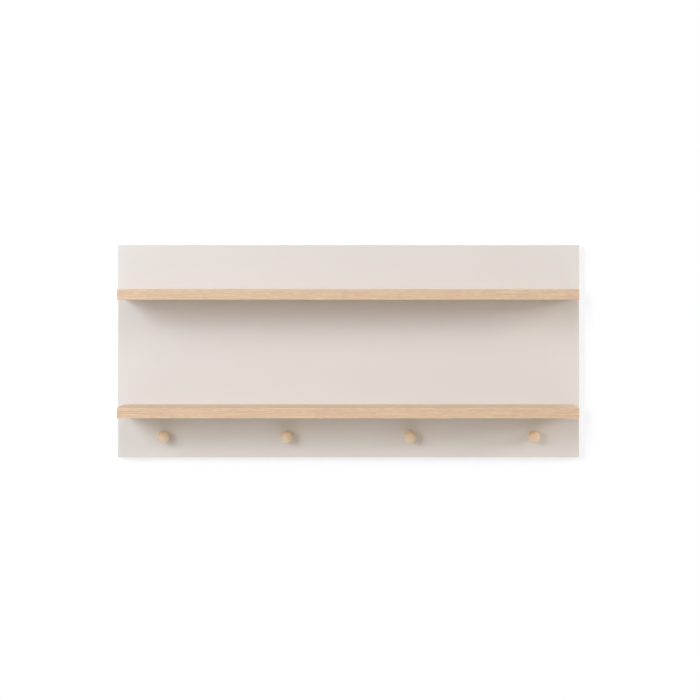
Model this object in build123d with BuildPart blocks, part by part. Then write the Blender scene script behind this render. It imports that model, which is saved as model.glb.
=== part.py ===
from build123d import *
from math import acos, atan2, cos, degrees, radians, sin, tan
import os

os.makedirs("parts", exist_ok=True)

# A wall shelf: a painted back panel, two shelves on its face and a row of turned pegs below.
# +X runs to the right as one faces the shelf, +Z runs up and +Y runs into the wall.
# The origin is the middle of the panel's rear face, which lies flat on the wall.
# All lengths are in millimetres.

# Back panel
panel_length = 800
panel_height = 368
panel_thickness = 18
panel_edge_radius = 1

# Shelves
shelf_end_inset = 10  # a shelf stops this far short of each end of the panel
shelf_depth = 120
shelf_thickness = 18
shelf_edge_radius = 1
upper_shelf_drop = 76  # from the panel's top edge down to the upper shelf's top
lower_shelf_rise = 74  # from the panel's bottom edge up to the lower shelf's underside

# Pegs
peg_count = 4
peg_end_inset = 80  # from the panel's end to the axis of the first peg
peg_drop = 37  # from the lower shelf's underside down to the pegs' axis
peg_projection = 30  # from the panel's face to the tip of the head
peg_head_radius = 11
peg_dome_height = 9  # the tip of the domed face in front of the head's widest line
peg_back_height = 6  # the rounded back of the head behind its widest line
peg_neck_radius = 5.5  # the narrowest place, just behind the head
peg_cove = 1.8  # the height of the hollow that carries the neck into the head
peg_base_radius = 7.2  # the shoulder that seats on the panel's face
tenon_radius = 6
tenon_chamfer = 1
tenon_web = 4  # what the blind hole leaves of the panel's thickness
tenon_end_gap = 0.5  # room for glue beyond the tenon

# Dowels between the panel and a shelf, one midway between each two screws
dowel_length = 30
dowel_radius = 4
dowel_chamfer = 0.8
dowel_web = 6  # what the blind hole leaves of the panel's thickness
dowel_end_gap = 1  # room for glue at each end of the dowel

# Screws that hold a shelf, driven from behind
shelf_screw_count = 4
shelf_screw_end_inset = 60  # from the shelf's end to the axis of the first screw
shelf_screw_length = 50
shelf_screw_radius = 2
shelf_screw_head_radius = 4
shelf_screw_sink = 0.3  # the head lies this far below the panel's rear face
shelf_screw_tip = 5
shelf_screw_recess_span = 4.4
shelf_screw_recess_width = 1
shelf_screw_recess_depth = 1.6

# Keyhole plates, let in flush with the rear face
hanger_end_inset = 50  # from the panel's end to the plate's middle
hanger_drop = 42  # from the panel's top edge down to the plate's middle
hanger_length = 46
hanger_width = 18
hanger_thickness = 2
keyhole_entry_radius = 5
keyhole_entry_offset = 4  # the entry's centre below the plate's middle
keyhole_slot_radius = 2.5
keyhole_slot_rise = 10  # from the entry's centre up to the centre of the slot's end
pocket_radius = 6  # the pocket behind the keyhole, for the head of the wall screw
pocket_depth = 8  # below the plate's seat

# Screws that hold a keyhole plate
hanger_screw_offset = 17  # from the plate's middle, up and down
hanger_screw_length = 12
hanger_screw_radius = 1.5
hanger_screw_head_radius = 3
hanger_screw_sink = 0.1  # the head lies this far below the plate
hanger_screw_tip = 3
hanger_screw_recess_span = 3.2
hanger_screw_recess_width = 0.8
hanger_screw_recess_depth = 1

# Clearances, all on the radius or on one side
glue_gap = 0.05  # round dowels and tenons
pilot_gap = 0.05  # round a screw's shank where it bites
shank_gap = 0.25  # round a screw's shank where it passes freely
seat_gap = 0.1  # round a screw's head in its countersink
recess_gap = 0.2  # round a keyhole plate in its recess
pilot_spare = 2  # beyond a screw's tip
countersink_angle = 90

# Places that follow from the sizes above
panel_top = panel_height / 2
panel_bottom = -panel_height / 2
panel_front = -panel_thickness
shelf_length = panel_length - 2 * shelf_end_inset
upper_shelf_middle = panel_top - upper_shelf_drop - shelf_thickness / 2
lower_shelf_middle = panel_bottom + lower_shelf_rise + shelf_thickness / 2
screw_spacing = (shelf_length - 2 * shelf_screw_end_inset) / (shelf_screw_count - 1)
dowel_count = shelf_screw_count - 1
peg_spacing = (panel_length - 2 * peg_end_inset) / (peg_count - 1)
peg_level = lower_shelf_middle - shelf_thickness / 2 - peg_drop
hanger_spacing = panel_length - 2 * hanger_end_inset
hanger_level = panel_top - hanger_drop
shelf_screw_bite = shelf_screw_length + shelf_screw_sink - panel_thickness + pilot_spare
tenon_hole_depth = panel_thickness - tenon_web
dowel_panel_depth = panel_thickness - dowel_web
dowel_shelf_depth = dowel_length - dowel_panel_depth + 2 * dowel_end_gap

# Work planes. On the rear plane +X points to the left, because it is seen from behind.
rear_plane = Plane(origin=(0, 0, 0), x_dir=(-1, 0, 0), z_dir=(0, 1, 0))
front_plane = Plane(origin=(0, panel_front, 0), x_dir=(1, 0, 0), z_dir=(0, -1, 0))
profile_plane = Plane.XY  # half profiles of turned pieces, spun about the Y axis


def finish(piece, name):
    """Label a finished piece and write it to its own file."""
    piece.part.label = name
    export_step(piece.part, f"parts/{name}.step")


def row(count, spacing, level):
    """Points of a level row on a work plane, evenly spaced about the middle."""
    start = -spacing * (count - 1) / 2
    return [(start + spacing * place, level) for place in range(count)]


def in_space(points):
    """The same points as places in the part's own frame."""
    return [(x, 0, z) for x, z in points]


def screw_places(level):
    return row(shelf_screw_count, screw_spacing, level)


def dowel_places(level):
    return row(dowel_count, screw_spacing, level)


def keyhole(entry_radius, slot_radius, mode=Mode.ADD):
    """Sketch an entry circle with a slot that rises from it."""
    with Locations((0, -keyhole_entry_offset)):
        Circle(entry_radius, mode=mode)
    with Locations((0, keyhole_slot_rise / 2 - keyhole_entry_offset)):
        SlotCenterToCenter(keyhole_slot_rise, 2 * slot_radius, rotation=90, mode=mode)


def make_panel():
    with BuildPart() as back_panel:
        with BuildSketch(Plane.XZ):
            Rectangle(panel_length, panel_height)
        extrude(amount=panel_thickness)
        fillet(back_panel.edges(), radius=panel_edge_radius)

        # Shelf screws come through from behind, and dowels and tenons go in from the front
        sink_radius = shelf_screw_head_radius + shelf_screw_sink + seat_gap
        for level in (upper_shelf_middle, lower_shelf_middle):
            with Locations(rear_plane):
                with Locations(*screw_places(level)):
                    CounterSinkHole(
                        radius=shelf_screw_radius + shank_gap,
                        counter_sink_radius=sink_radius,
                        counter_sink_angle=countersink_angle,
                    )
            with Locations(front_plane):
                with Locations(*dowel_places(level)):
                    Hole(radius=dowel_radius + glue_gap, depth=dowel_panel_depth)
        with Locations(front_plane):
            with Locations(*row(peg_count, peg_spacing, peg_level)):
                Hole(radius=tenon_radius + glue_gap, depth=tenon_hole_depth)

        # Each keyhole plate lies in a recess, with a deeper pocket for the wall screw's head
        hanger_points = row(2, hanger_spacing, hanger_level)
        recess_length = hanger_length + 2 * recess_gap
        recess_width = hanger_width + 2 * recess_gap
        with BuildSketch(rear_plane):
            with Locations(*hanger_points):
                SlotOverall(recess_length, recess_width, rotation=90)
        extrude(amount=-hanger_thickness, mode=Mode.SUBTRACT)
        with BuildSketch(rear_plane.offset(-hanger_thickness)):
            with Locations(*hanger_points):
                keyhole(pocket_radius, pocket_radius)
        extrude(amount=-pocket_depth, mode=Mode.SUBTRACT)
        with Locations(rear_plane):
            with Locations(*hanger_points):
                with Locations((0, hanger_screw_offset), (0, -hanger_screw_offset)):
                    Hole(
                        radius=hanger_screw_radius + pilot_gap,
                        depth=hanger_screw_length + pilot_spare,
                    )
    return back_panel


def make_shelf(level):
    with BuildPart() as shelf:
        with BuildSketch(front_plane):
            with Locations((0, level)):
                Rectangle(shelf_length, shelf_thickness)
        extrude(amount=shelf_depth)

        # The rear edge stays square where it meets the panel
        front_edges = shelf.faces().sort_by(Axis.Y)[0].edges()
        side_edges = shelf.edges().filter_by(Axis.Y)
        fillet(front_edges + side_edges, radius=shelf_edge_radius)

        # Pilot and dowel holes in the rear edge
        for points, radius, depth in (
            (screw_places(level), shelf_screw_radius + pilot_gap, shelf_screw_bite),
            (dowel_places(level), dowel_radius + glue_gap, dowel_shelf_depth),
        ):
            with BuildSketch(front_plane):
                with Locations(*points):
                    Circle(radius)
            extrude(amount=depth, mode=Mode.SUBTRACT)
    return shelf


def make_peg():
    """A turned peg on the Y axis, from its tenon in the panel to its domed head."""
    widest = panel_front - peg_projection + peg_dome_height
    tenon_end = panel_front + tenon_hole_depth - tenon_end_gap

    # The rounded back of the head is a quarter ellipse, cut short where the cove begins.
    # From there the cove turns until it runs along the axis.
    back_angle = acos((peg_neck_radius + peg_cove) / peg_head_radius)
    turn = atan2(peg_head_radius * sin(back_angle), peg_back_height * cos(back_angle))
    cove_radius = peg_cove / (1 - cos(turn))

    with BuildPart() as peg:
        with BuildSketch(profile_plane):
            with BuildLine():
                EllipticalCenterArc(
                    (0, widest), peg_head_radius, peg_dome_height, start_angle=-90, arc_size=90
                )
                head_back = EllipticalCenterArc(
                    (0, widest), peg_head_radius, peg_back_height, arc_size=degrees(back_angle)
                )
                cove = JernArc(
                    start=head_back @ 1,
                    tangent=head_back % 1,
                    radius=cove_radius,
                    arc_size=-degrees(turn),
                )
                TangentArc(cove @ 1, (peg_base_radius, panel_front), tangent=cove % 1)
                Polyline(
                    (peg_base_radius, panel_front),
                    (tenon_radius, panel_front),
                    (tenon_radius, tenon_end - tenon_chamfer),
                    (tenon_radius - tenon_chamfer, tenon_end),
                    (0, tenon_end),
                    (0, panel_front - peg_projection),
                )
            make_face()
        revolve(axis=Axis.Y)
    return peg


def make_dowel():
    """A dowel on the Y axis, half in the panel and half in a shelf."""
    with BuildPart() as dowel:
        with BuildSketch(front_plane.offset(dowel_end_gap - dowel_panel_depth)):
            Circle(dowel_radius)
        extrude(amount=dowel_length)
        chamfer(dowel.edges().filter_by(GeomType.CIRCLE), length=dowel_chamfer)
    return dowel


def make_screw(radius, head_radius, length, sink, tip, recess):
    """A countersunk screw on the Y axis, with its head to the rear and a crossed recess."""
    recess_span, recess_width, recess_depth = recess
    head_face = -sink
    cone_height = (head_radius - radius) / tan(radians(countersink_angle / 2))
    with BuildPart() as screw:
        with BuildSketch(profile_plane):
            with BuildLine():
                Polyline(
                    (0, head_face),
                    (head_radius, head_face),
                    (radius, head_face - cone_height),
                    (radius, head_face - length + tip),
                    (0, head_face - length),
                    (0, head_face),
                )
            make_face()
        revolve(axis=Axis.Y)
        with BuildSketch(rear_plane.offset(head_face)):
            Rectangle(recess_span, recess_width)
            Rectangle(recess_width, recess_span)
        extrude(amount=-recess_depth, mode=Mode.SUBTRACT)
    return screw


def make_hanger_plate():
    """A keyhole plate about the Y axis, with its outer face on the rear plane."""
    with BuildPart() as plate:
        with BuildSketch(rear_plane):
            SlotOverall(hanger_length, hanger_width, rotation=90)
            keyhole(keyhole_entry_radius, keyhole_slot_radius, mode=Mode.SUBTRACT)
        extrude(amount=-hanger_thickness)
        with Locations(rear_plane):
            with Locations((0, hanger_screw_offset), (0, -hanger_screw_offset)):
                CounterSinkHole(
                    radius=hanger_screw_radius + shank_gap,
                    counter_sink_radius=hanger_screw_head_radius + hanger_screw_sink + seat_gap,
                    counter_sink_angle=countersink_angle,
                )
    return plate


def place(piece, points):
    """Copies of a piece, moved from the Y axis to points of the part's own frame."""
    with BuildPart() as group:
        with Locations(*points):
            add(piece.part)
    return group


finish(make_panel(), "back_panel")

shelf_screw = make_screw(
    shelf_screw_radius,
    shelf_screw_head_radius,
    shelf_screw_length,
    shelf_screw_sink,
    shelf_screw_tip,
    (shelf_screw_recess_span, shelf_screw_recess_width, shelf_screw_recess_depth),
)
dowel = make_dowel()
for name, level in (
    ("upper_shelf", upper_shelf_middle),
    ("lower_shelf", lower_shelf_middle),
):
    finish(make_shelf(level), name)
    finish(place(dowel, in_space(dowel_places(level))), f"{name}_dowels")
    finish(place(shelf_screw, in_space(screw_places(level))), f"{name}_screws")

peg = make_peg()
for number, point in enumerate(in_space(row(peg_count, peg_spacing, peg_level)), start=1):
    finish(place(peg, [point]), f"peg_{number}")

hanger_plate = make_hanger_plate()
hanger_screw = make_screw(
    hanger_screw_radius,
    hanger_screw_head_radius,
    hanger_screw_length,
    hanger_screw_sink,
    hanger_screw_tip,
    (hanger_screw_recess_span, hanger_screw_recess_width, hanger_screw_recess_depth),
)
for side, x in (("left", -hanger_spacing / 2), ("right", hanger_spacing / 2)):
    finish(place(hanger_plate, [(x, 0, hanger_level)]), f"{side}_hanger_plate")
    finish(
        place(
            hanger_screw,
            [
                (x, 0, hanger_level + hanger_screw_offset),
                (x, 0, hanger_level - hanger_screw_offset),
            ],
        ),
        f"{side}_hanger_screws",
    )
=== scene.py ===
import math

import bpy
import numpy as np
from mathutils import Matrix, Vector


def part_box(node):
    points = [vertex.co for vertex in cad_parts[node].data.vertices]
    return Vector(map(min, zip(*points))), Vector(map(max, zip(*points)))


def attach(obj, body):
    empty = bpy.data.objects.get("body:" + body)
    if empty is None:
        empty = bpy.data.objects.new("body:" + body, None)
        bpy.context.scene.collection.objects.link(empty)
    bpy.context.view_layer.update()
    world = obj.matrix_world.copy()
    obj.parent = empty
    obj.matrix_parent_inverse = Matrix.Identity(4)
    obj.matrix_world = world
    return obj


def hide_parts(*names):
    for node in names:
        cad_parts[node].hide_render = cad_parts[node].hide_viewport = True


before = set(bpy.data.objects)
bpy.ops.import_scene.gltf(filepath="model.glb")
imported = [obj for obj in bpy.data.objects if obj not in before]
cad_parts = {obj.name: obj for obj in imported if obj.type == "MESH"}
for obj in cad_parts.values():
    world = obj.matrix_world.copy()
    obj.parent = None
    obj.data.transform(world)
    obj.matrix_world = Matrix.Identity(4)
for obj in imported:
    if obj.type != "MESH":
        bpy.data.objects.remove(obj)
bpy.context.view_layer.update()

# The finish of a wall shelf: a painted back panel, two ash shelves and a row of turned pegs.
# All lengths are in metres. +X runs to the right, +Z up and +Y into the wall, and the origin
# is the middle of the panel's rear face.

mm = 0.001
panelLow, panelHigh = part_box("back_panel")
panelFace = panelLow.y
print("frame loaded:", len(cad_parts), "nodes")


# The camera looks straight along +Y, and its frame is shifted onto the shelf.
cameraView = {
    "distance": 4.25,  # from the panel's face
    "across": 0.028,  # the camera stands this far right of the panel's middle
    "up": 0.1217,  # and this far above it
    "frameWidth": 1.2149,  # what the picture spans at the panel's face
    "frameMiddle": (0.0024, 0.0020),  # the point of the panel's face in the picture's middle
    "sensor": 36.0,  # millimetres
}


# The focal length is the sensor's width times the distance over the width that the picture
# spans. A shift is the picture's middle less the camera's place, over that same width.
def addCamera(view):
    data = bpy.data.cameras.new("studioCamera")
    data.sensor_width = view["sensor"]
    data.lens = view["sensor"] * view["distance"] / view["frameWidth"]
    data.shift_x = (view["frameMiddle"][0] - view["across"]) / view["frameWidth"]
    data.shift_y = (view["frameMiddle"][1] - view["up"]) / view["frameWidth"]
    camera = bpy.data.objects.new("studioCamera", data)
    camera.location = (view["across"], panelFace - view["distance"], view["up"])
    camera.rotation_euler = (math.radians(90), 0, 0)
    bpy.context.collection.objects.link(camera)
    bpy.context.scene.camera = camera


addCamera(cameraView)
bpy.context.scene.view_settings.view_transform = "Standard"
print("camera set")


# Helpers for node trees. A node's input takes a plain value or the socket that feeds it.
def addNode(tree, kind, inputs=None, **settings):
    node = tree.nodes.new(kind)
    for key, value in settings.items():
        setattr(node, key, value)
    for key, value in (inputs or {}).items():
        if isinstance(value, bpy.types.NodeSocket):
            tree.links.new(value, node.inputs[key])
        else:
            node.inputs[key].default_value = value
    return node


def useGroup(tree, group, **inputs):
    return addNode(tree, "ShaderNodeGroup", inputs, node_tree=group).outputs


def calc(tree, operation, *values):
    inputs = dict(enumerate(values))
    return addNode(tree, "ShaderNodeMath", inputs, operation=operation).outputs[0]


def vectorCalc(tree, operation, *values, result="Vector"):
    inputs = dict(enumerate(values))
    return addNode(tree, "ShaderNodeVectorMath", inputs, operation=operation).outputs[result]


# The base plus the value times its share
def addShare(tree, base, value, share):
    return calc(tree, "MULTIPLY_ADD", value, share, base)


# Noise runs from 0 to 1 about a middle of 0.5. Its scale counts the cells in a metre, and its
# result is one value, or three with "Color".
def noise(tree, position, scale=1.0, detail=2.0, roughness=0.5, result=0):
    inputs = {"Vector": position, "Scale": scale, "Detail": detail, "Roughness": roughness}
    return addNode(tree, "ShaderNodeTexNoise", inputs).outputs[result]


# A smooth step from one value at low to another at high
def step(tree, value, low, high, fromValue=0.0, toValue=1.0):
    inputs = {
        "Value": value,
        "From Min": low,
        "From Max": high,
        "To Min": fromValue,
        "To Max": toValue,
    }
    return addNode(tree, "ShaderNodeMapRange", inputs, interpolation_type="SMOOTHSTEP").outputs[0]


# The first colour where the share is 0 and the second where it is 1. A mix node keeps its
# colours in sockets 6 and 7, and the mixed colour comes out of socket 2.
def mixColour(tree, share, first, second):
    inputs = {0: share, 6: first, 7: second}
    return addNode(tree, "ShaderNodeMix", inputs, data_type="RGBA").outputs[2]


def scaleColour(tree, colour, factor):
    inputs = {0: colour, "Scale": factor}
    return addNode(tree, "ShaderNodeVectorMath", inputs, operation="SCALE").outputs[0]


# A colour as it is seen on screen, from 0 to 255, in the light values that nodes take. This
# undoes the sRGB curve, which is straight near black and a power of 2.4 above that.
def seen(red, green, blue):
    shares = [channel / 255 for channel in (red, green, blue)]
    light = [s / 12.92 if s <= 0.04045 else ((s + 0.055) / 1.055) ** 2.4 for s in shares]
    return (*light, 1.0)


def objectPlace(tree):
    return addNode(tree, "ShaderNodeTexCoord").outputs["Object"]


def splitVector(tree, vector):
    return addNode(tree, "ShaderNodeSeparateXYZ", {0: vector}).outputs


def joinVector(tree, x=0.0, y=0.0, z=0.0):
    return addNode(tree, "ShaderNodeCombineXYZ", {0: x, 1: y, 2: z}).outputs[0]


def newTree(name):
    material = bpy.data.materials.new(name)
    material.use_nodes = True
    material.node_tree.nodes.clear()
    return material, material.node_tree


# The stage is a white wall, which takes the panel's shadow, and a pale floor far below.
stageChoices = {
    "wallGap": 1 * mm,  # behind the panel, so that the two don't flicker
    "wallReach": 4.0,
    "wallColour": (0.40, 0.42, 0.455, 1),  # what answers to the light, bluish in a warm shade
    "wallGlow": 0.60,  # what the camera sees besides
    "wallFade": (0.014, 0.034),  # it fades to plain white between these distances from the panel
    "floorLevel": -1.45,
    "floorReach": 5.0,
    "floorColour": seen(232, 229, 224),
}


# A flat sheet through its corners, which run anticlockwise as one looks at its front
def addSheet(name, corners, material):
    mesh = bpy.data.meshes.new(name)
    mesh.from_pydata(corners, [], [tuple(range(len(corners)))])
    mesh.materials.append(material)
    sheet = bpy.data.objects.new(name, mesh)
    bpy.context.collection.objects.link(sheet)
    return sheet


# Both sheets are clear from behind, so that every side of the shelf can be seen.
def clearBehind(tree, front):
    clear = addNode(tree, "ShaderNodeBsdfTransparent").outputs[0]
    behind = addNode(tree, "ShaderNodeNewGeometry").outputs["Backfacing"]
    both = addNode(tree, "ShaderNodeMixShader", {0: behind, 1: front, 2: clear}).outputs[0]
    addNode(tree, "ShaderNodeOutputMaterial", {"Surface": both})


def plainWhite(tree, strength=1.0):
    return addNode(tree, "ShaderNodeEmission", {"Strength": strength}).outputs[0]


# 1 for what the camera sees itself or in gloss and glass, and 0 for what only lights things
def directView(tree):
    path = addNode(tree, "ShaderNodeLightPath").outputs
    shiny = calc(tree, "MAXIMUM", path["Is Glossy Ray"], path["Is Transmission Ray"])
    return calc(tree, "MAXIMUM", path["Is Camera Ray"], shiny)


# The fade goes by the distance from the panel's outline: how far a place lies outside the
# panel's half width and half height, each at least 0, and the length of those two together.
def wallFinish(choices):
    material, tree = newTree("studioWall")
    outside = vectorCalc(tree, "ABSOLUTE", objectPlace(tree))
    outside = vectorCalc(tree, "SUBTRACT", outside, tuple(panelHigh))
    outside = vectorCalc(tree, "MAXIMUM", outside, (0, 0, 0))
    outside = vectorCalc(tree, "MULTIPLY", outside, (1, 0, 1))
    away = vectorCalc(tree, "LENGTH", outside, result="Value")
    answer = addNode(tree, "ShaderNodeBsdfDiffuse", {"Color": choices["wallColour"]}).outputs[0]
    glow = plainWhite(tree, choices["wallGlow"])
    nearBy = addNode(tree, "ShaderNodeAddShader", {0: answer, 1: glow}).outputs[0]
    share = step(tree, away, *choices["wallFade"])
    inputs = {0: share, 1: nearBy, 2: plainWhite(tree)}
    clearBehind(tree, addNode(tree, "ShaderNodeMixShader", inputs).outputs[0])
    return material


def floorFinish(choices):
    material, tree = newTree("studioFloor")
    answer = addNode(tree, "ShaderNodeBsdfDiffuse", {"Color": choices["floorColour"]}).outputs[0]
    inputs = {0: directView(tree), 1: answer, 2: plainWhite(tree)}
    clearBehind(tree, addNode(tree, "ShaderNodeMixShader", inputs).outputs[0])
    return material


# The wall casts no shadow, so that the rear softbox shines past it, and it lights nothing.
def addStage(choices):
    far, depth, level = choices["wallReach"], choices["wallGap"], choices["floorLevel"]
    corners = [(-far, depth, level), (far, depth, level), (far, depth, far), (-far, depth, far)]
    wall = addSheet("studioWall", corners, wallFinish(choices))
    wall.visible_diffuse = False
    wall.visible_glossy = False
    wall.visible_shadow = False
    far = choices["floorReach"]
    corners = [(-far, -far, level), (far, -far, level), (far, far, level), (-far, far, level)]
    addSheet("studioFloor", corners, floorFinish(choices))


addStage(stageChoices)
print("stage set")


# Softboxes face the panel's middle. An angle across is measured to the right from straight in
# front, and an angle up from the level. A size is across and up. The level is the light that
# the softbox gives a surface which faces it, where 1 shows a colour as it is written.
coolTint, warmTint = (0.97, 1, 1.08), (1.04, 0.99, 0.93)
softboxes = {
    "key": {"across": -45, "up": 18, "size": (0.45, 1.3), "level": 0.19, "tint": coolTint},
    "fill": {"across": -28, "up": 12, "size": (0.7, 1.5), "level": 0.305, "tint": coolTint},
    "top": {"across": 0, "up": 33, "size": (0.9, 1.4), "level": 0.11, "tint": (0.98, 1, 1.05)},
    "right": {"across": 53, "up": 16, "size": (1.0, 0.9), "level": 0.155, "tint": warmTint},
    "side": {"across": 80, "up": 10, "size": (0.5, 0.5), "level": 0.20, "tint": warmTint},
    "rear": {"across": 160, "up": 30, "size": (2.2, 2.2), "level": 0.55, "tint": (1, 1, 1)},
}
softboxAway = 3.5
surroundings = {"level": 0.363, "tint": (1.10, 1, 0.85)}  # light from all round


# A softbox's power is its level times the square of pi times its distance.
def addSoftbox(name, choices, away):
    data = bpy.data.lights.new(name, "AREA")
    data.shape = "RECTANGLE"
    data.size, data.size_y = choices["size"]
    data.energy = choices["level"] * (math.pi * away) ** 2
    data.color = choices["tint"]
    softbox = bpy.data.objects.new(name, data)
    across, up = math.radians(choices["across"]), math.radians(choices["up"])
    level = Vector((math.sin(across), -math.cos(across), 0))
    direction = level * math.cos(up) + Vector((0, 0, math.sin(up)))
    softbox.location = direction * away
    softbox.rotation_euler = direction.to_track_quat("Z", "Y").to_euler()
    softbox.visible_camera = False
    bpy.context.collection.objects.link(softbox)


# The world lights the shelf at its own level, and is plain white where the camera sees it.
def addSurroundings(choices):
    world = bpy.data.worlds.new("studio")
    bpy.context.scene.world = world
    world.use_nodes = True
    tree = world.node_tree
    tree.nodes.clear()
    inputs = {"Color": (*choices["tint"], 1), "Strength": choices["level"]}
    light = addNode(tree, "ShaderNodeBackground", inputs).outputs[0]
    white = addNode(tree, "ShaderNodeBackground", {"Color": (1, 1, 1, 1)}).outputs[0]
    inputs = {0: directView(tree), 1: light, 2: white}
    both = addNode(tree, "ShaderNodeMixShader", inputs).outputs[0]
    addNode(tree, "ShaderNodeOutputWorld", {"Surface": both})


for name, choices in softboxes.items():
    addSoftbox(name, choices, softboxAway)
addSurroundings(surroundings)
print("light set:", len(softboxes), "softboxes")


# Shader groups that several finishes share. What is given is named with its kind of socket.
def newGroup(name, given, results):
    tree = bpy.data.node_groups.new(name, "ShaderNodeTree")
    for socket, kind in given.items():
        tree.interface.new_socket(socket, in_out="INPUT", socket_type="NodeSocket" + kind)
    for socket in results:
        tree.interface.new_socket(socket, in_out="OUTPUT", socket_type="NodeSocketFloat")
    return tree, addNode(tree, "NodeGroupInput").outputs


arrisWearAndHighlight = {
    "ragScale": 90.0,  # cells of the ragged edge in a metre
    "ragDetail": 3.0,
    "worn": 0.2,  # the share of the width that is worn through
}


# The arris mask is 1 along the edges of a box and 0 further in than its width. A point on a
# face is nearest to an edge by the middle one of its distances to the box's sides.
def buildArrisGroup(wear):
    given = {"Position": "Vector", "Middle": "Vector", "Half": "Vector", "Width": "Float"}
    tree, fed = newGroup("arris", given, ["Mask"])
    offset = vectorCalc(tree, "SUBTRACT", fed["Position"], fed["Middle"])
    inside = vectorCalc(tree, "SUBTRACT", fed["Half"], vectorCalc(tree, "ABSOLUTE", offset))
    x, y, z = splitVector(tree, inside)
    lower = calc(tree, "MINIMUM", x, y)
    upper = calc(tree, "MAXIMUM", x, y)
    distance = calc(tree, "MAXIMUM", lower, calc(tree, "MINIMUM", upper, z))
    rag = noise(tree, fed["Position"], wear["ragScale"], wear["ragDetail"])
    depth = calc(tree, "DIVIDE", distance, fed["Width"])
    depth = calc(tree, "ADD", depth, calc(tree, "SUBTRACT", rag, 0.5))
    mask = step(tree, depth, wear["worn"], 1.0, 1.0, 0.0)
    addNode(tree, "NodeGroupOutput", {"Mask": mask})
    return tree


# A row of three is a noise drawn out along the grain: cells in a metre along the grain, cells in
# a metre across it, and detail. A ring's parts run from 0 at its start to 1 at its end.
ashGrain = {
    "bend": (0.9, 14, 2.0),
    "uneven": 140.0,  # cells in a metre outwards, for rings of uneven width
    "darkens": (0.25, 0.9),  # a ring darkens between these parts of its width
    "ends": (0.93, 1.0),  # and ends between these
    "palest": 0.4,  # the palest ring against the darkest
    "pores": (70, 1700, 1.0),
    "poreCut": (0.56, 0.68),  # a pore opens where its noise passes these
    "poreBand": (0.02, 0.42),  # the pores thin out between these parts of a ring
    "latePores": 0.12,  # what is left of them further out
    "shortStreak": (85, 1200, 2.0),
    "longStreak": (11, 950, 2.0),
    "tone": (18, 700, 3.0),
}


# Ash with its grain along X. The distance from the tree's heart, bent by slow noise, is counted
# in rings. Each ring darkens slowly outwards and ends sharply, and its open pores lie at its
# start. Streaks and shifts of tone are noise drawn out along the grain.
def buildAshGroup(wood):
    given = {"Position": "Vector", "Heart": "Vector", "Spacing": "Float", "Bend": "Float"}
    tree, fed = newGroup("ashGrain", given, ["Rings", "Pores", "Streak", "Tone"])
    place = fed["Position"]

    def drawnOut(key, result=0):
        along, across, detail = wood[key]
        stretched = vectorCalc(tree, "MULTIPLY", place, (along, across, across))
        return noise(tree, stretched, detail=detail, result=result)

    bend = vectorCalc(tree, "SUBTRACT", drawnOut("bend", "Color"), (0.5, 0.5, 0.5))
    bend = scaleColour(tree, bend, fed["Bend"])
    fromHeart = vectorCalc(tree, "SUBTRACT", vectorCalc(tree, "ADD", place, bend), fed["Heart"])
    fromHeart = vectorCalc(tree, "MULTIPLY", fromHeart, (0, 1, 1))
    radius = vectorCalc(tree, "LENGTH", fromHeart, result="Value")
    inputs = {"W": radius, "Scale": wood["uneven"], "Detail": 1.0}
    uneven = addNode(tree, "ShaderNodeTexNoise", inputs, noise_dimensions="1D").outputs[0]
    count = calc(tree, "ADD", calc(tree, "DIVIDE", radius, fed["Spacing"]), uneven)
    whole = {"W": calc(tree, "FLOOR", count)}
    strength = addNode(tree, "ShaderNodeTexWhiteNoise", whole, noise_dimensions="1D").outputs[0]
    strength = addShare(tree, wood["palest"], strength, 1 - wood["palest"])
    part = calc(tree, "FRACT", count)
    ending = step(tree, part, *wood["ends"], 1.0, 0.0)
    dark = calc(tree, "MULTIPLY", step(tree, part, *wood["darkens"]), ending)
    open = step(tree, drawnOut("pores"), *wood["poreCut"])
    band = step(tree, part, *wood["poreBand"], 1.0, wood["latePores"])
    streaks = calc(tree, "ADD", drawnOut("shortStreak"), drawnOut("longStreak"))
    results = {
        "Rings": calc(tree, "MULTIPLY", dark, strength),
        "Pores": calc(tree, "MULTIPLY", open, band),
        "Streak": calc(tree, "MULTIPLY", streaks, 0.5),
        "Tone": drawnOut("tone"),
    }
    addNode(tree, "NodeGroupOutput", results)
    return tree


zincPlate = {
    "crystalScale": 700.0,  # crystals in a metre
    "crystalShare": 0.3,  # of the cloud
    "cloudScale": 120.0,
    "cloudDetail": 4.0,
    "cloudShare": 0.7,
    "cloudLeast": 0.15,
    "rubTurn": (0.4, 0.2, 0.6),  # radians, so that the marks follow no edge
    "rubStretch": (300, 5200, 5200),  # cells in a metre along and across the marks
}


# Zinc plate: a cloudy brightness from slow noise and its crystals, and rubbing marks from noise
# that is turned and drawn out
def buildZincGroup(zinc):
    tree, fed = newGroup("zincPlate", {"Position": "Vector"}, ["Cloud", "Rub"])
    place = fed["Position"]
    inputs = {"Vector": place, "Scale": zinc["crystalScale"]}
    crystal = addNode(tree, "ShaderNodeTexVoronoi", inputs).outputs["Color"]
    crystal = addNode(tree, "ShaderNodeSeparateColor", {0: crystal}).outputs[0]
    cloud = noise(tree, place, zinc["cloudScale"], zinc["cloudDetail"])
    cloud = addShare(tree, zinc["cloudLeast"], cloud, zinc["cloudShare"])
    cloud = addShare(tree, cloud, crystal, zinc["crystalShare"])
    inputs = {"Vector": place, "Rotation": zinc["rubTurn"]}
    turned = addNode(tree, "ShaderNodeMapping", inputs).outputs[0]
    rub = noise(tree, vectorCalc(tree, "MULTIPLY", turned, zinc["rubStretch"]))
    addNode(tree, "NodeGroupOutput", {"Cloud": cloud, "Rub": rub})
    return tree


arrisGroup = buildArrisGroup(arrisWearAndHighlight)
ashGroup = buildAshGroup(ashGrain)
zincGroup = buildZincGroup(zincPlate)
print("shader groups built")


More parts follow.
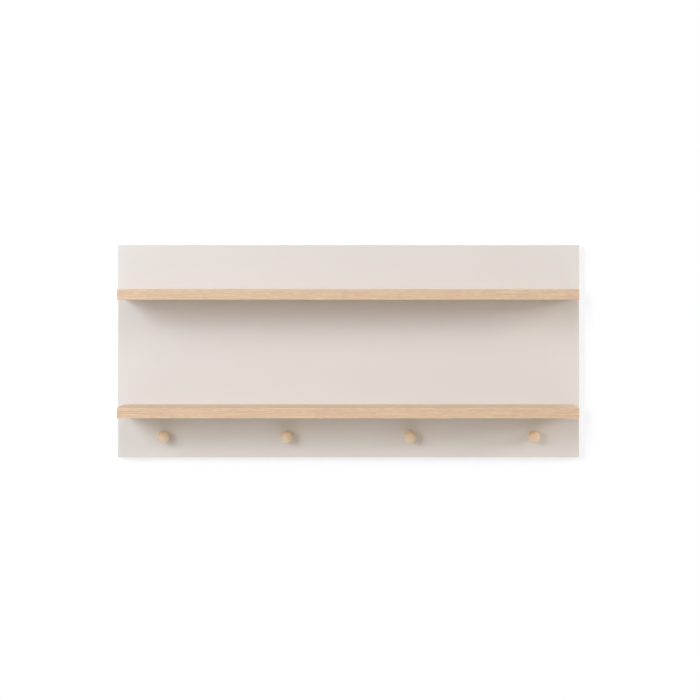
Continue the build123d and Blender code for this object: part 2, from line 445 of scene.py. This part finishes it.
# The arris mask of the box between two corners
def arrisMask(tree, place, low, high, width):
    middle, half = tuple((low + high) / 2), tuple((high - low) / 2)
    fed = {"Position": place, "Middle": middle, "Half": half, "Width": width}
    return useGroup(tree, arrisGroup, **fed)["Mask"]


# A height of 1 stands as high as the bump's depth.
def principled(tree, colour, roughness, height, bumpDepth, **values):
    inputs = {"Height": height, "Distance": bumpDepth, "Strength": 1.0}
    bump = addNode(tree, "ShaderNodeBump", inputs).outputs[0]
    inputs = {"Base Color": colour, "Roughness": roughness, "Normal": bump, **values}
    shader = addNode(tree, "ShaderNodeBsdfPrincipled", inputs).outputs[0]
    addNode(tree, "ShaderNodeOutputMaterial", {"Surface": shader})


# Satin paint, laid on with a fine roller. It is thinner along the arrises, and the rear face has
# a streaky primer.
paintChoices = {
    "colour": seen(219, 217, 215),
    "thin": seen(206, 198, 188),  # where the paint is thin
    "thinShare": 0.35,
    "arrisWidth": 1.8 * mm,
    "rear": seen(214, 208, 200),  # the primer
    "rearDepth": (-1.0 * mm, -0.2 * mm),  # the primer begins between these places on Y
    "rearStreaks": (9, 200, 200),  # cells in a metre
    "rearSpan": (0.3, 0.7),  # the streaks run from least to full between these
    "rearLeast": 0.55,
    "cloud": 0.02,  # how much the colour varies
    "cloudScale": 5.0,
    "roughness": 0.46,
    "roughSpread": 0.10,
    "roughScale": 26.0,
    "rearRougher": 0.16,
    "arrisSmoother": 0.05,
    "stipple": 620,  # roller marks in a metre
    "stippleRoughness": 0.6,
    "stippleDepth": 0.05 * mm,
    "waves": 155,  # wider marks in a metre
}


# The colour is the paint's, then the thin paint's by the arris mask, then the primer's by its
# streaks behind, and all of it is brighter or darker by the cloud.
def paintFinish(choices):
    material, tree = newTree("panelPaint")
    place = objectPlace(tree)
    edge = arrisMask(tree, place, panelLow, panelHigh, choices["arrisWidth"])
    rear = step(tree, splitVector(tree, place)["Y"], *choices["rearDepth"])
    thinShare = calc(tree, "MULTIPLY", edge, choices["thinShare"])
    colour = mixColour(tree, thinShare, choices["colour"], choices["thin"])
    stretched = vectorCalc(tree, "MULTIPLY", place, choices["rearStreaks"])
    streaks = noise(tree, stretched, detail=3.0)
    patchy = step(tree, streaks, *choices["rearSpan"], choices["rearLeast"], 1.0)
    colour = mixColour(tree, calc(tree, "MULTIPLY", rear, patchy), colour, choices["rear"])
    cloud = noise(tree, place, choices["cloudScale"], 3.0)
    bright = addShare(tree, 1 - choices["cloud"], cloud, 2 * choices["cloud"])
    colour = scaleColour(tree, colour, bright)
    stipple = noise(tree, place, choices["stipple"], 3.0, choices["stippleRoughness"])
    height = calc(tree, "ADD", stipple, noise(tree, place, choices["waves"], 1.0))
    smudge = noise(tree, place, choices["roughScale"], 4.0)
    least = choices["roughness"] - choices["roughSpread"] / 2
    rough = addShare(tree, least, smudge, choices["roughSpread"])
    rough = addShare(tree, rough, rear, choices["rearRougher"])
    rough = addShare(tree, rough, edge, -choices["arrisSmoother"])
    principled(tree, colour, rough, height, choices["stippleDepth"])
    return material


# Oiled ash. The numbers in threes hold for the narrow edges, the wide faces and the end grain,
# which soaks up more oil and is darker. The wide faces' extra brightness is painted light: it
# stands in for the light that a shelf's top catches, and is painted on the undersides as well.
ashColours = {
    "straw": seen(215, 194, 157),
    "pink": seen(206, 173, 155),
    "late": seen(188, 157, 128),  # the dark end of a ring
    "pore": seen(160, 126, 96),
    # The pale arris colour is partly edge wear and partly a painted highlight along the lit
    # edges.
    "arris": seen(220, 195, 150),
    "toneSpan": (0.3, 0.7),  # the tone turns from straw to pink between these
    "ringShare": (0.40, 0.62, 0.85),
    "poreShare": 0.35,
    "arrisWearAndHighlightShare": 0.45,
    "streak": (1.15, 0.65, 0.35),
    # Brightness by face: darker end grain from the oil, and painted light on the wide faces
    "bright": (1.0, 1.10, 0.80),
    "roughness": 0.35,
    "poreRougher": 0.18,
    "ringSmoother": 0.06,
    "endRougher": 0.12,
    "poreDepth": 0.06 * mm,
    "streakHeight": 0.3,  # these two are against the pores' depth
    "ringHeight": 0.15,
}


# Straw and pink are blended by the slow tone, then the rings, the pores and the pale arris
# colour, partly edge wear and partly a painted highlight, are laid over them, and the streaks
# and each face's brightness, which on the wide faces is painted light, vary the brightness.
# The height is the streaks' less the pores' and the rings', with the tool's marks on top.
def ashSurface(tree, grain, edge, endFace, wideFace, marks, choices):
    def layOver(colour, key, mask, share):
        return mixColour(tree, calc(tree, "MULTIPLY", mask, share), colour, choices[key])

    def byFace(key):
        onEdge, onWide, onEnd = choices[key]
        value = addShare(tree, onEdge, wideFace, onWide - onEdge)
        return addShare(tree, value, endFace, onEnd - onEdge)

    tone = step(tree, grain["Tone"], *choices["toneSpan"])
    colour = mixColour(tree, tone, choices["straw"], choices["pink"])
    colour = layOver(colour, "late", grain["Rings"], byFace("ringShare"))
    colour = layOver(colour, "pore", grain["Pores"], choices["poreShare"])
    # Wear and a painted highlight: the pale arris colour along the edges
    colour = layOver(colour, "arris", edge, choices["arrisWearAndHighlightShare"])
    streak = calc(tree, "SUBTRACT", grain["Streak"], 0.5)
    streak = addShare(tree, 1.0, streak, byFace("streak"))
    # The wide faces are brightened here, a painted light
    colour = scaleColour(tree, colour, calc(tree, "MULTIPLY", streak, byFace("bright")))
    height = addShare(tree, marks, grain["Pores"], -1.0)
    height = addShare(tree, height, grain["Streak"], choices["streakHeight"])
    height = addShare(tree, height, grain["Rings"], -choices["ringHeight"])
    rough = addShare(tree, choices["roughness"], grain["Pores"], choices["poreRougher"])
    rough = addShare(tree, rough, grain["Rings"], -choices["ringSmoother"])
    rough = addShare(tree, rough, endFace, choices["endRougher"])
    principled(tree, colour, rough, height, choices["poreDepth"])


# How far a surface faces along one axis of its own object: 0 below the first share of its
# normal on that axis, and 1 above the second
facingSpan = (0.25, 0.8)


def facing(tree, axis):
    normal = addNode(tree, "ShaderNodeTexCoord").outputs["Normal"]
    along = calc(tree, "ABSOLUTE", splitVector(tree, normal)[axis])
    return step(tree, along, *facingSpan)


# A shelf is glued up from staves side by side, each cut from another place in the tree.
staveChoices = {
    "width": 40 * mm,
    "treeLength": 5.0,  # a stave's cut lies up to this far along the tree
    "shelfKey": 10,  # times a shelf's height, it picks that shelf's cuts
    "heartDrop": 62 * mm,  # the tree's heart lies this far below the board
    "heartSpread": 50 * mm,  # and up to half of this to either side
    "ringSpacing": 2.4 * mm,
    "bend": 7 * mm,
    "arrisWidth": 1.6 * mm,
}


# A stave's number is how many widths it lies from the shelf's rear edge. The number and the
# shelf's height pick its cut, which shifts its grain along the tree and the heart to the side.
def shelfFinish(node, choices, colours):
    low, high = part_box(node)
    middle = (low + high) / 2
    width = choices["width"]
    material, tree = newTree(node + "Ash")
    place = objectPlace(tree)
    local = vectorCalc(tree, "SUBTRACT", place, (middle.x, high.y, middle.z))
    x, y, z = splitVector(tree, local)
    stave = calc(tree, "FLOOR", calc(tree, "DIVIDE", y, width))
    inputs = {"Vector": joinVector(tree, stave, middle.z * choices["shelfKey"])}
    cut = addNode(tree, "ShaderNodeTexWhiteNoise", inputs).outputs["Color"]
    shift = addNode(tree, "ShaderNodeSeparateColor", {0: cut}).outputs
    alongTree = addShare(tree, x, shift[0], choices["treeLength"])
    inStave = addShare(tree, y, stave, -width)
    aside = (width - choices["heartSpread"]) / 2
    aside = addShare(tree, aside, shift[1], choices["heartSpread"])
    grain = useGroup(
        tree,
        ashGroup,
        Position=joinVector(tree, alongTree, inStave, z),
        Heart=joinVector(tree, 0.0, aside, -choices["heartDrop"]),
        Spacing=choices["ringSpacing"],
        Bend=choices["bend"],
    )
    edge = arrisMask(tree, place, low, high, choices["arrisWidth"])
    ashSurface(tree, grain, edge, facing(tree, "X"), facing(tree, "Z"), 0.0, colours)
    return material


# Pegs and dowels stand in level rows, and each is cut from another blank.
pegChoices = {
    "blankSpread": (1, 0.02, 0.02),  # how far apart in the tree the blanks are cut
    "heart": (0.0, 46 * mm, -38 * mm),
    "ringSpacing": 2.1 * mm,
    "bend": 4 * mm,
    "marks": 1300,  # lathe marks in a metre
    "markShare": 0.9,  # their height against the pores' depth
}
dowelChoices = {**pegChoices, "markShare": 0.0}


# A piece's place is measured from its own axis, and its number and the row's height pick its
# blank. Its grain runs along Y, so the place is turned before the grain is read. The lathe's
# marks are rings, so they depend on the place along the axis and the radius alone.
def rowFinish(name, boxes, choices, colours):
    material, tree = newTree(name)
    middles = [(np.array(low) + np.array(high)) / 2 for low, high in boxes]
    spacing = float(middles[1][0] - middles[0][0])
    fromFirst = vectorCalc(tree, "SUBTRACT", objectPlace(tree), tuple(middles[0]))
    x, y, z = splitVector(tree, fromFirst)
    number = calc(tree, "ROUND", calc(tree, "DIVIDE", x, spacing))
    x = addShare(tree, x, number, -spacing)
    inputs = {"W": calc(tree, "ADD", number, float(middles[0][2]))}
    blank = addNode(tree, "ShaderNodeTexWhiteNoise", inputs, noise_dimensions="1D")
    blank = vectorCalc(tree, "MULTIPLY", blank.outputs["Color"], choices["blankSpread"])
    grain = useGroup(
        tree,
        ashGroup,
        Position=vectorCalc(tree, "ADD", joinVector(tree, y, x, z), blank),
        Heart=choices["heart"],
        Spacing=choices["ringSpacing"],
        Bend=choices["bend"],
    )
    radius = vectorCalc(tree, "LENGTH", joinVector(tree, x, z), result="Value")
    marks = noise(tree, joinVector(tree, y, radius), choices["marks"], 1.0)
    marks = calc(tree, "MULTIPLY", marks, choices["markShare"])
    ashSurface(tree, grain, 0.0, facing(tree, "Y"), 0.0, marks, colours)
    return material


# The pegs are the same ash, paler for want of oil, and the dowels are beech.
pegColours = {
    **ashColours,
    "straw": seen(233, 216, 188),
    "pink": seen(226, 205, 180),
    "late": seen(213, 190, 164),
    "pore": seen(188, 161, 134),
    "ringShare": (0.40, 0.40, 0.75),
    "streak": (0.3, 0.3, 0.6),
    "bright": (1.0, 1.0, 1.0),
}
beechColours = {
    **ashColours,
    "straw": seen(216, 184, 144),
    "pink": seen(211, 174, 138),
    "late": seen(202, 165, 126),
    "pore": seen(160, 118, 82),
    "ringShare": (0.3, 0.3, 0.4),
    "poreShare": 0.5,
    "roughness": 0.6,
}

# Zinc plate varies about its own colour and roughness.
screwPlate = {
    "colour": seen(198, 197, 194),
    "leastBright": 0.85,
    "cloudBright": 0.3,
    "roughness": 0.30,
    "cloudRough": 0.12,
    "rubRough": 0.10,
    "rubDepth": 0.01 * mm,
}
hangerPlate = {**screwPlate, "colour": seen(190, 190, 188), "roughness": 0.38}


# The cloud brightens the zinc, and the cloud and the rubbing marks roughen it about its middle
# roughness.
def zincFinish(name, choices):
    material, tree = newTree(name)
    zinc = useGroup(tree, zincGroup, Position=objectPlace(tree))
    bright = addShare(tree, choices["leastBright"], zinc["Cloud"], choices["cloudBright"])
    colour = scaleColour(tree, choices["colour"][:3], bright)
    least = choices["roughness"] - (choices["cloudRough"] + choices["rubRough"]) / 2
    rough = addShare(tree, least, zinc["Cloud"], choices["cloudRough"])
    rough = addShare(tree, rough, zinc["Rub"], choices["rubRough"])
    principled(tree, colour, rough, zinc["Rub"], choices["rubDepth"], Metallic=1.0)
    return material


# The points of a CAD node, and those points parted wherever a gap opens along one axis
def nodePoints(node):
    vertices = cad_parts[node].data.vertices
    places = np.empty(3 * len(vertices))
    vertices.foreach_get("co", places)
    return places.reshape(-1, 3)


def partAtGaps(points, axis, gap):
    ordered = points[np.argsort(points[:, axis])]
    breaks = np.flatnonzero(np.diff(ordered[:, axis]) > gap) + 1
    return np.split(ordered, breaks)


turnedChoices = {
    "gap": 8 * mm,  # copies of one turned shape lie further apart than this
    "sharpAngle": 35,  # degrees, where two faces meet in a sharp edge
}


# A node's copies of one turned shape lie apart along X or Z. Each copy's box is its group's.
def turnedBoxes(node, gap):
    columns = partAtGaps(nodePoints(node), 0, gap)
    groups = [group for column in columns for group in partAtGaps(column, 2, gap)]
    return [(group.min(axis=0), group.max(axis=0)) for group in groups]


# Turned pieces are spun about an axis along Y. A row of points is one ring: its radius times the
# cosine and the sine of the turn, at one place on the axis. The rows run from the tip towards +Y.
def spin(radii, along, columns):
    turn = 2 * math.pi * np.arange(columns) / columns
    return np.stack([radii * np.cos(turn), along + 0 * turn, radii * np.sin(turn)], axis=-1)


# The rings' points are counted row by row, and a last point closes each end of the piece.
def ringFaces(rows, columns):
    column = np.arange(columns)
    after = (column + 1) % columns
    start = columns * np.arange(rows - 1)[:, None]
    corners = [start + column, start + columns + column, start + columns + after, start + after]
    count = rows * columns
    last = count - columns
    tip = np.stack([0 * column + count, column, after], axis=-1)
    end = np.stack([0 * column + count + 1, last + after, last + column], axis=-1)
    return np.stack(corners, axis=-1).reshape(-1, 4), np.concatenate([tip, end])


# One object holds a copy of the turned shape on each axis, and stands for the CAD node. A copy's
# points are the shape's plus the place of its axis.
def addTurned(node, points, middles, material):
    rows, columns = points.shape[:2]
    single = np.concatenate([points.reshape(-1, 3), points[[0, -1]].mean(axis=1)])
    vertices = (np.array(middles)[:, None] + single).reshape(-1, 3)
    sides, caps = ringFaces(rows, columns)
    shift = len(single) * np.arange(len(middles))[:, None, None]
    faces = (sides + shift).reshape(-1, 4).tolist() + (caps + shift).reshape(-1, 3).tolist()
    mesh = bpy.data.meshes.new(node + "Turned")
    mesh.from_pydata(vertices.tolist(), [], faces)
    mesh.shade_smooth()
    mesh.set_sharp_from_angle(angle=math.radians(turnedChoices["sharpAngle"]))
    mesh.materials.append(material)
    piece = bpy.data.objects.new(node + "Turned", mesh)
    bpy.context.collection.objects.link(piece)
    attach(piece, "root")
    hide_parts(node)


# Screws with a countersunk head of 90 degrees and a crossed recess. The two kinds share how
# their surface is drawn.
screwShape = {
    "columns": 72,
    "rowsInPitch": 8,
    "faceRows": 26,
    "ridge": 0.3,  # half the width of the thread's ridge, against the pitch
    "rim": 0.25 * mm,  # the head's edge, and the flat ring inside it
    "rimRound": 0.05 * mm,  # the edge is rounded over this height
    "rimDrop": (0.02 * mm, 0.03 * mm),  # and loses this much below and above
    "recessWall": 0.12 * mm,
    "recessTaper": 0.6,  # how much shallower the recess is at the ends of its arms
    "faceMiddle": 0.04 * mm,  # radius of the innermost ring
}
shelfScrew = {
    **screwShape,
    "core": 1.35 * mm,
    "thread": 1.95 * mm,  # the crest's radius
    "shank": 1.6 * mm,
    "threadShare": 0.62,  # of the screw's length
    "pitch": 1.8 * mm,
    "tip": 6 * mm,
    "recessSpan": 4.4 * mm,
    "recessWidth": 1.0 * mm,
    "recessDepth": 1.6 * mm,
}
hangerScrew = {
    **screwShape,
    "core": 0.95 * mm,
    "thread": 1.45 * mm,
    "shank": 1.15 * mm,
    "threadShare": 0.72,
    "pitch": 1.2 * mm,
    "tip": 3.5 * mm,
    "recessSpan": 3.2 * mm,
    "recessWidth": 0.8 * mm,
    "recessDepth": 1.0 * mm,
}


# Three times the square less twice the cube of the value's share of the way from low to high
def smoothStep(value, low, high):
    share = np.clip((value - low) / (high - low), 0, 1)
    return share * share * (3 - 2 * share)


# The recess is as deep as both arms allow at a point, and shallower away from the axis.
def recessDepth(x, z, sizes):
    wall, armEnd = sizes["recessWall"], sizes["recessSpan"] / 2
    across, along = np.minimum(abs(x), abs(z)), np.maximum(abs(x), abs(z))
    inside = smoothStep(sizes["recessWidth"] / 2 - across, 0, wall)
    inside = inside * smoothStep(armEnd - along, 0, wall)
    return inside * sizes["recessDepth"] * (1 - sizes["recessTaper"] * along / armEnd)


# The screw's radius swells from its core into a thread of V shape, whose phase is the place
# along the axis over the pitch, less the turn. The thread grows out of the pointed tip by a
# square root and dies away on the shank. The head is a cone, and its face is sunk by the recess.
def screwPoints(low, high, sizes):
    columns, pitch, core, shank = (sizes[key] for key in ("columns", "pitch", "core", "shank"))
    length, headRadius = high[1] - low[1], (high[0] - low[0]) / 2
    threadEnd = length * sizes["threadShare"]
    rowStep = pitch / sizes["rowsInPitch"]
    place = np.arange(rowStep / 2, threadEnd, rowStep)[:, None]
    phase = (place / pitch - np.arange(columns) / columns) % 1
    crest = np.clip(1 - abs(phase - 0.5) / sizes["ridge"], 0, 1)
    grown = smoothStep(place, 0, sizes["tip"]) ** 0.5
    fading = smoothStep(place, threadEnd - pitch, threadEnd)
    radii = core + (sizes["thread"] - core) * crest * (1 - fading)
    radii = grown * (radii + (shank - core) * fading)
    threaded = spin(radii, low[1] + place, columns)

    rim, rimRound = sizes["rim"], sizes["rimRound"]
    below, above = sizes["rimDrop"]
    coneEnd = length - rim
    rows = [
        (shank, coneEnd - (headRadius - shank)),
        (headRadius - below, coneEnd),
        (headRadius, coneEnd + rimRound),
        (headRadius - above, length - rimRound),
    ]
    radius, place = np.array(rows).T[:, :, None]
    head = spin(radius, low[1] + place, columns)

    radius = np.linspace(headRadius - rim, sizes["faceMiddle"], sizes["faceRows"])[:, None]
    face = spin(radius, high[1] + 0 * radius, columns)
    face[..., 1] -= recessDepth(face[..., 0], face[..., 2], sizes)
    return np.concatenate([threaded, head, face])


dowelShape = {
    "flutes": 24,
    "fluteDepth": 0.25 * mm,
    "pointsInFlute": 6,
    "chamfer": 0.8 * mm,
}


# A dowel's radius dips in rounded flutes all round, each the square of a raised cosine. It
# shrinks in a chamfer at each end, where the flutes run out.
def dowelPoints(low, high, shape):
    columns, chamfer = shape["flutes"] * shape["pointsInFlute"], shape["chamfer"]
    radius, length = (high[0] - low[0]) / 2, high[1] - low[1]
    place = np.array([0, chamfer, 2 * chamfer, length - 2 * chamfer, length - chamfer, length])
    fromEnd = np.minimum(place, length - place)[:, None]
    around = 2 * math.pi * np.arange(columns) / columns
    flute = (0.5 - 0.5 * np.cos(shape["flutes"] * around)) ** 2
    full = radius - np.clip(chamfer - fromEnd, 0, None)
    radii = full - shape["fluteDepth"] * flute * np.clip(fromEnd / chamfer, 0, 1)
    return spin(radii, low[1] + place[:, None], columns)


# The finishes go on the CAD's own pieces, apart from the screws and the dowels.
def dress(node, material):
    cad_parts[node].material_slots[0].material = material


# A turned piece stands on the axis of each of the node's copies.
def turnNode(node, shaper, sizes, material):
    boxes = turnedBoxes(node, turnedChoices["gap"])
    middles = [((low + high) / 2 * (1, 0, 1)) for low, high in boxes]
    addTurned(node, shaper(*boxes[0], sizes), middles, material)


dress("back_panel", paintFinish(paintChoices))
pegs = [f"peg_{number}" for number in range(1, 5)]
pegAsh = rowFinish("pegAsh", [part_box(peg) for peg in pegs], pegChoices, pegColours)
screwZinc = zincFinish("screwZinc", screwPlate)
plateZinc = zincFinish("plateZinc", hangerPlate)
for level in ("upper", "lower"):
    shelf = f"{level}_shelf"
    dress(shelf, shelfFinish(shelf, staveChoices, ashColours))
    dowels = f"{shelf}_dowels"
    dowelBoxes = turnedBoxes(dowels, turnedChoices["gap"])
    dowelBeech = rowFinish(dowels + "Beech", dowelBoxes, dowelChoices, beechColours)
    turnNode(dowels, dowelPoints, dowelShape, dowelBeech)
    turnNode(f"{shelf}_screws", screwPoints, shelfScrew, screwZinc)
for peg in pegs:
    dress(peg, pegAsh)
for side in ("left", "right"):
    dress(f"{side}_hanger_plate", plateZinc)
    turnNode(f"{side}_hanger_screws", screwPoints, hangerScrew, screwZinc)
print("pieces dressed:", len(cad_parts))
